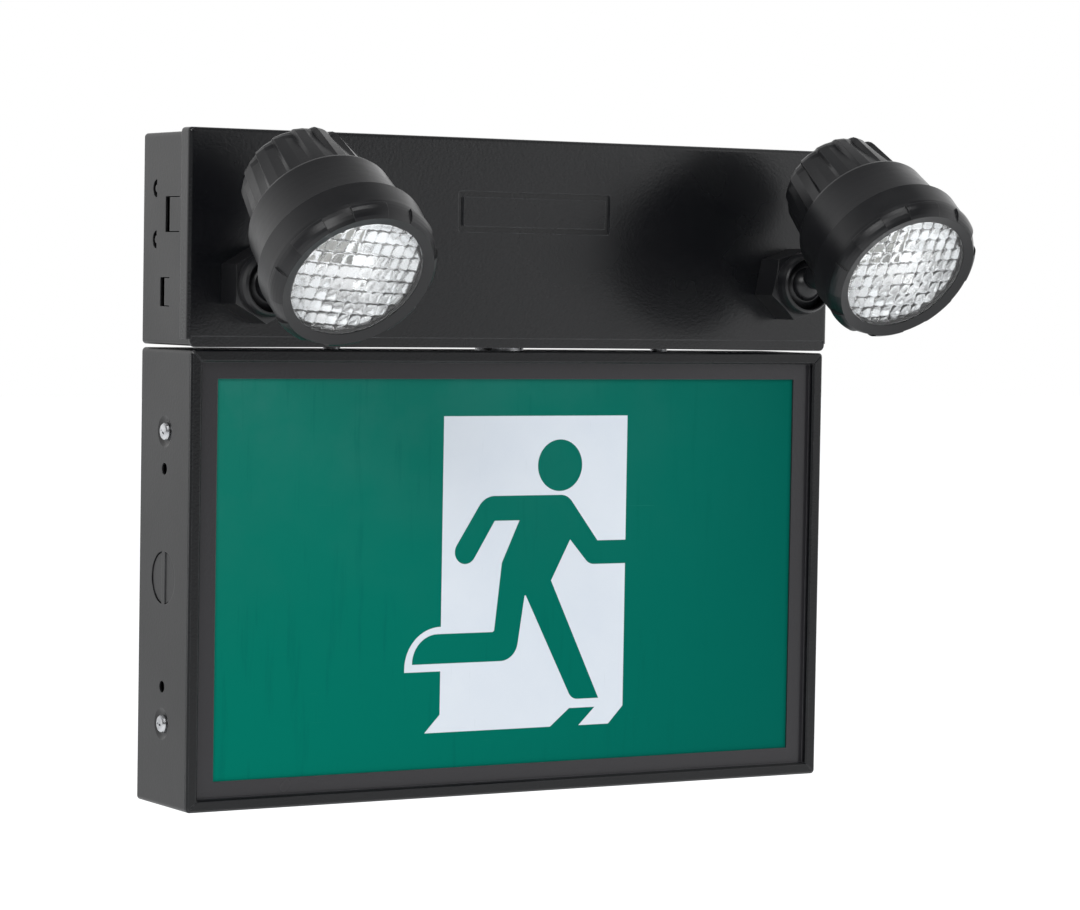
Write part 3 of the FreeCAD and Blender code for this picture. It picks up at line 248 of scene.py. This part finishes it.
def moulded(name, dark, light, rough, grain=0.2):
    """Moulded plastic with a fine grain, faint flow marks, and lighter edges that are partly rubbed wear and
    partly a painted highlight.
    """
    s = Shader(name)
    colour = s.mix(s.band(s.noise(28.0, 5.0), 0.3, 0.7), rgba(*dark), rgba(*light))
    soft = s.rounded(0.0004)
    # The lighter edge colour stands for rubbed wear and a painted highlight.
    wear_and_sheen_colour = rgba(*[0.05 + 0.95 * c for c in light])
    return s.surface(
        Base_Color=s.edge_wear_and_sheen(colour, soft, wear_and_sheen_colour, 0.45),
        Roughness=s.band(s.noise(90.0, 5.0, 0.65), 0.3, 0.7, rough - 0.05, rough + 0.06),
        Normal=s.bump(s.noise(1500.0, 2.0), grain, 0.0001, soft),
        Specular_IOR_Level=0.5)


def plated(name, dark, light, rough, metal=1.0, brush=(1.0, 1.0, 1.0)):
    """Plated or uncoated metal with brushing and dull spots."""
    s = Shader(name)
    grain = s.noise(700.0, 3.0, 0.5, s.stretched(brush))
    return s.surface(
        Base_Color=s.mix(s.band(s.noise(180.0, 4.0), 0.35, 0.65), rgba(*dark), rgba(*light)),
        Roughness=s.band(s.noise(320.0, 4.0), 0.3, 0.7, rough - 0.06, rough + 0.12),
        Normal=s.bump(grain, 0.12, 0.0001, s.rounded(0.0002)),
        Metallic=metal)


def legend_green():
    """Printed green film: a painted sheen at the upper left, deeper to the right, smeared, scratched."""
    s = Shader("legend_green")
    x, _, z = s.axes()
    across = s.band(x, -0.15, 0.15)
    height = s.band(z, -0.09, 0.09)
    colour = s.mix(across, rgba(0.0, 0.180, 0.128), rgba(0.0, 0.122, 0.092))
    blotch = s.band(s.noise(26.0, 8.0, 0.62), 0.42, 0.62)
    # Painted reflection: the upper left of the film is painted lighter and greyer as a sheen.
    corner = s.math("MULTIPLY", s.math("POWER", height, 2.6), s.math("SUBTRACT", 1.02, across))
    painted_sheen = s.math("MULTIPLY", corner, s.band(blotch, 0.0, 1.0, 0.45, 0.85))
    colour = s.mix(s.math("MULTIPLY", painted_sheen, 0.34), colour, rgba(0.10, 0.26, 0.25))
    smear = s.band(s.noise(30.0, 3.0, 0.6, s.stretched((9.0, 1.0, 0.7))), 0.58, 0.72)
    colour = s.mix(s.math("MULTIPLY", smear, 0.30), colour, rgba(0.0, 0.118, 0.088))
    lengthwise = s.stretched((0.5, 1.0, 18.0), (0.0, 0.12, 0.0))
    scratch = s.band(s.noise(70.0, 2.0, 0.5, lengthwise), 0.73, 0.78)
    colour = s.mix(s.math("MULTIPLY", scratch, 0.14), colour, rgba(0.06, 0.32, 0.26))
    return s.surface(
        Base_Color=colour,
        Roughness=s.band(blotch, 0.0, 1.0, 0.42, 0.55),
        Normal=s.bump(s.noise(1200.0, 2.0), 0.05, 0.0001),
        Specular_IOR_Level=0.02)


def legend_white():
    """Opal white of the doorway, slightly cool, with faint upright marks."""
    s = Shader("legend_white")
    colour = s.mix(s.band(s.noise(22.0, 6.0, 0.6), 0.35, 0.65),
                   rgba(0.715, 0.77, 0.84), rgba(0.75, 0.80, 0.86))
    streak = s.band(s.noise(60.0, 2.0, 0.5, s.stretched((12.0, 1.0, 1.0))), 0.72, 0.78)
    return s.surface(
        Base_Color=s.mix(s.math("MULTIPLY", streak, 0.12), colour, rgba(0.5, 0.56, 0.6)),
        Roughness=s.band(s.noise(140.0), 0.3, 0.7, 0.4, 0.52),
        Normal=s.bump(s.noise(1200.0, 2.0), 0.05, 0.0001),
        Specular_IOR_Level=0.12)


def lens_glass():
    """Clear moulded glass with faint flow marks."""
    s = Shader("lens_glass")
    return s.surface(
        Base_Color=s.mix(s.band(s.noise(120.0, 3.0), 0.3, 0.7),
                         rgba(0.975, 0.99, 0.995), rgba(1.0, 1.0, 1.0)),
        Roughness=s.band(s.noise(300.0), 0.3, 0.7, 0.0, 0.03),
        Normal=s.bump(s.noise(420.0, 3.0, 0.6), 0.25, 0.0006),
        IOR=1.5,
        Transmission_Weight=1.0)


def mirror_bright():
    """Metallised reflector, a little uneven."""
    s = Shader("mirror_bright")
    return s.surface(
        Base_Color=s.mix(s.band(s.noise(90.0, 4.0), 0.3, 0.7),
                         rgba(0.95, 0.96, 0.97), rgba(0.98, 0.985, 0.99)),
        Roughness=s.band(s.noise(200.0), 0.3, 0.7, 0.03, 0.10),
        Normal=s.bump(s.noise(220.0, 4.0), 0.25, 0.0005),
        Metallic=0.8)


# Each row: darker and lighter colour, roughness, and what else differs.
POWDER_COATS = {
    "front_paint": ((0.0022, 0.0026, 0.0036), (0.0034, 0.0038, 0.0050), 0.26),
    # A darker copy of the front paint as painted shade on the rim; its last colour is the painted reflection on
    # the face behind the rim.
    "frame_paint_shade_and_sheen": ((0.0014, 0.0017, 0.0026), (0.0024, 0.0028, 0.0038), 0.24,
                    0.25, 0.45, (0.026, 0.025, 0.028)),
    "side_paint": ((0.0060, 0.0060, 0.0066), (0.0085, 0.0085, 0.0092), 0.36),
    "back_paint": ((0.006, 0.006, 0.007), (0.009, 0.009, 0.010), 0.40),
}
MOULDINGS = {
    "diffuser": ((0.68, 0.72, 0.77), (0.74, 0.77, 0.80), 0.45, 0.05),
    "liner_white": ((0.76, 0.76, 0.75), (0.82, 0.82, 0.81), 0.6),
    "led_board": ((0.70, 0.70, 0.64), (0.80, 0.80, 0.74), 0.4),
    "battery_case": ((0.020, 0.022, 0.026), (0.035, 0.038, 0.045), 0.3),
    "white_plastic": ((0.70, 0.69, 0.64), (0.78, 0.77, 0.73), 0.45),
    "circuit_board": ((0.010, 0.10, 0.035), (0.02, 0.17, 0.06), 0.35),
    "black_plastic": ((0.0028, 0.0030, 0.0038), (0.0050, 0.0052, 0.0062), 0.30),
    "button_red": ((0.30, 0.012, 0.010), (0.42, 0.02, 0.015), 0.28, 0.1),
    "pilot_amber": ((0.45, 0.13, 0.012), (0.6, 0.2, 0.03), 0.2, 0.05),
    "head_plastic": ((0.0050, 0.0051, 0.0062), (0.0080, 0.0082, 0.0096), 0.34),
    "gasket_rubber": ((0.012, 0.012, 0.012), (0.02, 0.02, 0.02), 0.7),
}
METALS = {
    "zinc": ((0.50, 0.51, 0.53), (0.72, 0.73, 0.75), 0.28),
    "transformer_core": ((0.10, 0.08, 0.05), (0.2, 0.17, 0.12), 0.5, 0.6, (1.0, 1.0, 12.0)),
}
FINISHES = {
    "legend_green": legend_green(),
    "legend_white": legend_white(),
    "clear_lens": lens_glass(),
    "bulb_glass": lens_glass(),
    "bright_reflector": mirror_bright(),
}
for make, rows in ((powder_coat, POWDER_COATS), (moulded, MOULDINGS), (plated, METALS)):
    FINISHES.update((name, make(name, *row)) for name, row in rows.items())


def dress(obj, finish):
    obj.data.materials.clear()
    obj.data.materials.append(FINISHES[finish])


for part in frame["record"]["subparts"]:
    dress(NODES[part["node"]], part["material_slot"])
# The face frame takes the darker copy of the front paint, painted shade, with its lighter painted reflection
# behind the rim.
dress(NODES["face_frame"], "frame_paint_shade_and_sheen")


# --- meshes ------------------------------------------------------------------------
def add_object(name, data):
    obj = bpy.data.objects.new(name, data)
    bpy.context.scene.collection.objects.link(obj)
    return obj


def add_mesh(name, verts, faces, material, smooth=False):
    data = bpy.data.meshes.new(name)
    data.from_pydata([tuple(v) for v in verts], [], faces)
    data.validate()
    data.update()
    if smooth:
        data.polygons.foreach_set("use_smooth", [True] * len(data.polygons))
    data.materials.append(material)
    obj = add_object(name, data)
    return obj


def take_mesh(name, bm):
    """Mesh data of the bmesh, which is freed."""
    data = bpy.data.meshes.new(name)
    bm.to_mesh(data)
    bm.free()
    return data


def circle(radius, count):
    """Points (a, b) round a circle, starting on the first axis."""
    turns = (2 * math.pi * k / count for k in range(count))
    return [(radius * math.cos(a), radius * math.sin(a)) for a in turns]


def rounded_outline(corners, steps=10):
    """Outline from (x, z, radius) corners, each radius struck as an arc between its two sides."""
    points = []
    for i, (x, z, radius) in enumerate(corners):
        here = Vector((x, z))
        if radius == 0:
            points.append(here)
            continue
        a = (Vector(corners[i - 1][:2]) - here).normalized()
        b = (Vector(corners[(i + 1) % len(corners)][:2]) - here).normalized()
        half = a.angle(b) / 2
        centre = here + (a + b).normalized() * (radius / math.sin(half))
        reach = radius / math.tan(half)
        start, end = here + a * reach - centre, here + b * reach - centre
        turn = start.angle_signed(end)
        for k in range(steps + 1):
            angle = -turn * k / steps
            c, s = math.cos(angle), math.sin(angle)
            points.append(centre + Vector((start.x * c - start.y * s, start.x * s + start.y * c)))
    return points


# --- legend ------------------------------------------------------------------------
# The standard exit symbol as (x, z, corner radius) in millimetres from the legend's middle.
DOORWAY = [
    (-36.2, 67.4, 0), (56.3, 67.4, 0), (56.3, -60.3, 0), (48.9, -68.0, 0), (33.7, -68.0, 0),
    (41.8, -60.3, 0), (28.7, -60.3, 0), (19.1, -68.0, 0), (-43.6, -68.0, 0), (-36.2, -60.3, 0),
    (-36.2, -41.7, 0), (-53.8, -41.7, 0), (-53.8, -22.6, 17.5), (-36.2, -22.6, 0),
]
FIGURE = [
    (-15.5, 33.0, 9.1), (26.2, 33.0, 7.1), (41.8, 12.8, 0), (56.4, 12.8, 0), (56.4, 2.5, 0),
    (37.7, 2.5, 5.6), (27.8, 13.5, 0), (18.4, -4.2, 0), (43.6, -56.4, 0), (29.8, -56.4, 5.0),
    (5.3, -9.4, 0.4), (0.9, -38.4, 8.6), (-50.1, -38.4, 0), (-50.1, -25.7, 12.4),
    (-9.9, -25.7, 1.2), (-6.5, 4.1, 0), (2.0, 22.3, 0), (-10.4, 22.3, 0), (-23.1, 1.9, 5.25),
    (-31.9, 7.7, 5.25),
]
FIGURE_HEAD_X, FIGURE_HEAD_Z, FIGURE_HEAD_R = 22.1, 45.9, 11.2
FIGURE_HEAD = [(FIGURE_HEAD_X + a, FIGURE_HEAD_Z - b, 0) for a, b in circle(FIGURE_HEAD_R, 72)]
INK = 0.05               # thickness of one layer


def layer(name, outlines, front, finish):
    """Thin flat layer of ink with straight edges, its front at y = front millimetres.

    The outlines run clockwise, seen from the front.
    """
    bm = bmesh.new()
    for outline in outlines:
        near, far = ([bm.verts.new((p.x * MM, y * MM, p.y * MM)) for p in outline]
                     for y in (front, front + INK))
        bm.faces.new(near[:1] + near[:0:-1])
        bm.faces.new(far)
        for k in range(len(outline)):
            bm.faces.new((near[k], far[k], far[k - 1], near[k - 1]))
    bm.normal_update()
    bmesh.ops.triangulate(bm, faces=[f for f in bm.faces if len(f.verts) > 4])
    obj = add_object(name, take_mesh(name, bm))
    dress(obj, finish)
    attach(obj, "fixture")


layer("legend_doorway", [rounded_outline(DOORWAY, 16)], FILM_FRONT - INK,
      "legend_white")
layer("legend_figure", [rounded_outline(FIGURE, 12), rounded_outline(FIGURE_HEAD)],
      FILM_FRONT - 2 * INK, "legend_green")


# --- lenses ------------------------------------------------------------------------
def head_frame(side):
    """Matrix from a head's lens frame, in millimetres, to the row frame, in metres."""
    ball = Matrix.Translation(Vector(JOINTS[side + "_tilt"]["pos_m"]))
    aim = Matrix.Rotation(math.radians(HEAD_AIM[side]), 4, "X")
    reach = Matrix.Translation(Vector((0, -HEAD_REACH, HEAD_LIFT)) * MM)
    pitch = Matrix.Rotation(math.radians(HEAD_PITCH), 4, "X")
    return ball @ aim @ reach @ pitch @ Matrix.Scale(MM, 4)


def chance(m, n):
    """Fixed scatter from -1 to 1 for the prism at (m, n)."""
    return 2 * ((math.sin(12.9898 * m + 78.233 * n) * 43758.5453) % 1) - 1


def prism_back(i, j, pillow, riser):
    """Depth of the lens at mesh step (i, j): a pillow in each cell, stepped and tilted."""
    a = (i % LENS_STEPS) / LENS_STEPS - 0.5
    b = (j % LENS_STEPS) / LENS_STEPS - 0.5
    m, n = i // LENS_STEPS, j // LENS_STEPS
    tilt = LENS_SCATTER * (chance(m, n) * a + chance(n + 31, m) * b)
    return LENS_BACK - LENS_RELIEF - pillow * 2 * (a * a + b * b) - riser * (0.5 - b) + tilt


def prism_lens(side, pitch_x, pitch_z, turn, pillow, riser):
    """Clear lens: domed front, a grid of pillow prisms moulded on its back, and its rim."""
    place = head_frame(side)
    c, s = math.cos(turn), math.sin(turn)
    count_x = int(LENS_R / pitch_x + 2) * LENS_STEPS
    count_z = int(LENS_R / pitch_z + 2) * LENS_STEPS

    def seat(i, j):
        """(x, z) of a mesh step, drawn in to the edge of the grid, and whether it was inside."""
        u, v = i * pitch_x / LENS_STEPS, j * pitch_z / LENS_STEPS
        x, z = u * c - v * s, u * s + v * c
        r = math.hypot(x, z)
        if r <= LENS_GRID_R:
            return x, z, True
        return x * LENS_GRID_R / r, z * LENS_GRID_R / r, False

    spots, quads = {}, []
    for i in range(-count_x, count_x):
        for j in range(-count_z, count_z):
            ring = [(i, j), (i + 1, j), (i + 1, j + 1), (i, j + 1)]
            if any(seat(*p)[2] for p in ring):
                quads.append(ring)
                for p in ring:
                    spots.setdefault(p, len(spots))

    verts, total, columns = [None] * (2 * len(spots)), len(spots), {}
    for (i, j), k in spots.items():
        x, z, _ = seat(i, j)
        front = -LENS_DOME * (1 - (x * x + z * z) / LENS_SEEN_R ** 2)
        verts[k] = place @ Vector((x, front, z))
        verts[k + total] = place @ Vector((x, prism_back(i, j, pillow, riser), z))
        r = math.hypot(x, z)
        if r >= LENS_GRID_R - 0.01:
            columns[k] = [k, *range(len(verts), len(verts) + len(LENS_RIM)), k + total]
            verts += [place @ Vector((x * out / r, y, z * out / r)) for out, y in LENS_RIM]

    faces, edges = [], {}    # edges holds keys alone, in the order of the grid
    for ring in quads:
        loop = [spots[p] for p in ring]
        faces.append(loop)
        faces.append([k + total for k in reversed(loop)])
        edges.update(dict.fromkeys(zip(loop, loop[1:] + loop[:1])))
    for a, b in edges:
        if (b, a) not in edges:
            ca, cb = columns[a], columns[b]
            faces += [[cb[m], ca[m], ca[m + 1], cb[m + 1]] for m in range(len(ca) - 1)]

    lens = add_mesh(side + "_prism_lens", verts, faces, FINISHES["clear_lens"],
                    smooth=True)
    bm = bmesh.new()
    bm.from_mesh(lens.data)
    bmesh.ops.dissolve_degenerate(bm, dist=1e-6, edges=bm.edges)
    bmesh.ops.recalc_face_normals(bm, faces=bm.faces)
    bm.to_mesh(lens.data)
    bm.free()
    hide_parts(side + "_lens")
    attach(lens, side + "_head")


prism_lens("left", 5.0, 5.9, math.radians(-4), 0.95, 0.55)
prism_lens("right", 5.1, 5.8, math.radians(5), 1.15, 0.1)


# --- side screws -------------------------------------------------------------------
def lathe(profile, count):
    """Closed mesh turned about X from (x, radius) points; the first and last lie on the axis."""
    verts, faces = [Vector((profile[0][0], 0, 0))], []
    for x, r in profile[1:-1]:
        verts += [Vector((x, a, b)) for a, b in circle(r, count)]
    verts.append(Vector((profile[-1][0], 0, 0)))
    rings = len(profile) - 2
    for k in range(count):
        n = (k + 1) % count
        faces.append([0, 1 + k, 1 + n])
        for ring in range(rings - 1):
            a = 1 + ring * count
            faces.append([a + k, a + count + k, a + count + n, a + n])
        last = 1 + (rings - 1) * count
        faces.append([last + k, len(verts) - 1, last + n])
    return verts, faces


def screw_blank():
    """Pan-head screw along X, head towards -X, seat at x = 0."""
    profile = [(-SCREW_HEAD_H * h, SCREW_HEAD_R * r) for h, r in SCREW_CURVE]
    profile += [(0.0, SCREW_SHANK_R), (SCREW_SHANK_L, SCREW_SHANK_R), (SCREW_SHANK_L, 0)]
    verts, faces = lathe(profile, SCREW_SIDES)
    bm = bmesh.new()
    ring = [bm.verts.new(v) for v in verts]
    for f in faces:
        bm.faces.new([ring[i] for i in f])
    bmesh.ops.recalc_face_normals(bm, faces=bm.faces)
    return add_object("screw", take_mesh("screw", bm))


def cross_tool():
    """Two tapered blades, one across the other, that cut the recess."""
    bm = bmesh.new()
    for upright in (False, True):
        for v in bmesh.ops.create_cube(bm, size=1.0)["verts"]:
            half_length, half_width, x = CROSS_FOOT if v.co.x > 0 else CROSS_MOUTH
            along = math.copysign(half_length, v.co.y)
            aside = math.copysign(half_width, v.co.z)
            v.co = Vector((x, aside, along) if upright else (x, along, aside))
    bmesh.ops.recalc_face_normals(bm, faces=bm.faces)
    return add_object("cross", take_mesh("cross", bm))


def screw_mesh(turn):
    """Mesh of one screw with its cross recess, turned about its axis."""
    screw, cross = screw_blank(), cross_tool()
    cut = screw.modifiers.new("cut", "BOOLEAN")
    cut.object, cut.operation, cut.solver = cross, "DIFFERENCE", "EXACT"
    cut.use_self = True
    bpy.context.view_layer.update()
    shown = screw.evaluated_get(bpy.context.evaluated_depsgraph_get())
    done = bpy.data.meshes.new_from_object(shown)
    bpy.data.objects.remove(screw)
    bpy.data.objects.remove(cross)
    done.transform(Matrix.Rotation(turn, 4, "X"))
    return done


def side_screws():
    """The four screws in the dimples, as one piece."""
    joined = bmesh.new()
    for side in (-1, 1):
        for z in (SCREW_Z, -SCREW_Z):
            data = screw_mesh(random.uniform(0, math.pi / 2))
            seat = Matrix.Translation(Vector((side * SCREW_SEAT_X, SCREW_Y, z)) * MM)
            facing = Matrix.Rotation(0 if side < 0 else math.pi, 4, "Z")
            data.transform(seat @ facing @ Matrix.Scale(MM, 4))
            joined.from_mesh(data)
    obj = add_object("cross_head_screws", take_mesh("cross_head_screws", joined))
    dress(obj, "zinc")
    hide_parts("side_screws")
    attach(obj, "fixture")


side_screws()


# --- stage -------------------------------------------------------------------------
class World(Shader):
    """The same node helpers on the world's own tree."""

    def __init__(self, world):
        self.start(world.node_tree, "ShaderNodeOutputWorld", "Generated")


def ways_of_looking(s):
    """Two factors: 1 where the camera, a gloss or a glass looks, and 1 where only a gloss does."""
    path = s.node("ShaderNodeLightPath")
    glossy, through = path.outputs["Is Glossy Ray"], path.outputs["Is Transmission Ray"]
    seen = s.math("MAXIMUM", s.math("MAXIMUM", path.outputs["Is Camera Ray"], glossy), through)
    return seen, s.math("MULTIPLY", glossy, s.math("SUBTRACT", 1.0, through))


def make_world():
    """White to the eye and through glass; a gloss sees it behind, a light beside and a dim room."""
    world = bpy.data.worlds.new("studio")
    world.use_nodes = True
    s = World(world)
    x, y, z = s.axes()
    sides = s.math("MAXIMUM", s.band(y, *ROOM_BEHIND), s.band(x, *ROOM_BESIDE))
    room = s.math("MULTIPLY", s.math("MAXIMUM", sides, ROOM_DIM), s.band(z, *ROOM_ABOVE))
    seen, gloss = ways_of_looking(s)
    mirrored = s.mix(gloss, rgba(1, 1, 1), room)
    colour = s.mix(seen, rgba(*ROOM_LIGHT), mirrored)
    s.close(s.feed(s.node("ShaderNodeBackground"), Color=colour, Strength=1.0))
    bpy.context.scene.world = world


def make_floor():
    """Pale floor that keeps the object's shadow and runs into the white backdrop."""
    s = Shader("floor")
    tone = s.mix(s.band(s.noise(3.0, 4.0), 0.3, 0.7),
                 rgba(0.86, 0.86, 0.86), rgba(0.90, 0.90, 0.90))
    diffuse = s.feed(s.node("ShaderNodeBsdfDiffuse"), Color=tone,
                     Normal=s.bump(s.noise(240.0), 0.05, 0.0005))
    seen, gloss = ways_of_looking(s)
    glow = s.feed(s.node("ShaderNodeEmission"),
                  Strength=s.band(gloss, 0.0, 1.0, FLOOR_GLOW, FLOOR_GLOSS))
    bright = s.order(s.node("ShaderNodeAddShader"), diffuse.outputs[0], glow.outputs[0])
    s.close(s.order(s.node("ShaderNodeMixShader"), seen, diffuse.outputs[0], bright.outputs[0]))
    h = FLOOR_HALF
    corners = [(-h, -h, FLOOR_LEVEL), (h, -h, FLOOR_LEVEL), (h, h, FLOOR_LEVEL),
               (-h, h, FLOOR_LEVEL)]
    floor = add_mesh("studio_floor", corners, [[0, 1, 2, 3]], s.material)


def softbox(name, at, aim, width, height, watts, mirrored):
    data = bpy.data.lights.new(name, "AREA")
    data.shape, data.size, data.size_y, data.energy = "RECTANGLE", width, height, watts
    lamp = add_object(name, data)
    lamp.location = at
    lamp.rotation_mode = "QUATERNION"
    lamp.rotation_quaternion = (Vector(aim) - Vector(at)).to_track_quat("-Z", "Y")
    lamp.visible_glossy = mirrored


def make_camera():
    data = bpy.data.cameras.new("camera")
    data.lens, data.sensor_width = CAMERA_LENS, CAMERA_SENSOR
    data.clip_start, data.clip_end = CAMERA_CLIP
    camera = add_object("camera", data)
    back = -CAMERA_AIM.normalized()
    right = CAMERA_UP.cross(back).normalized()
    up = back.cross(right)
    turn = Matrix((right, up, back)).transposed().to_4x4()
    camera.matrix_world = Matrix.Translation(CAMERA_AT) @ turn
    bpy.context.scene.camera = camera


make_world()
make_floor()
for lamp_row in LAMPS:
    softbox(*lamp_row)
make_camera()
bpy.context.scene.view_settings.view_transform = "Standard"
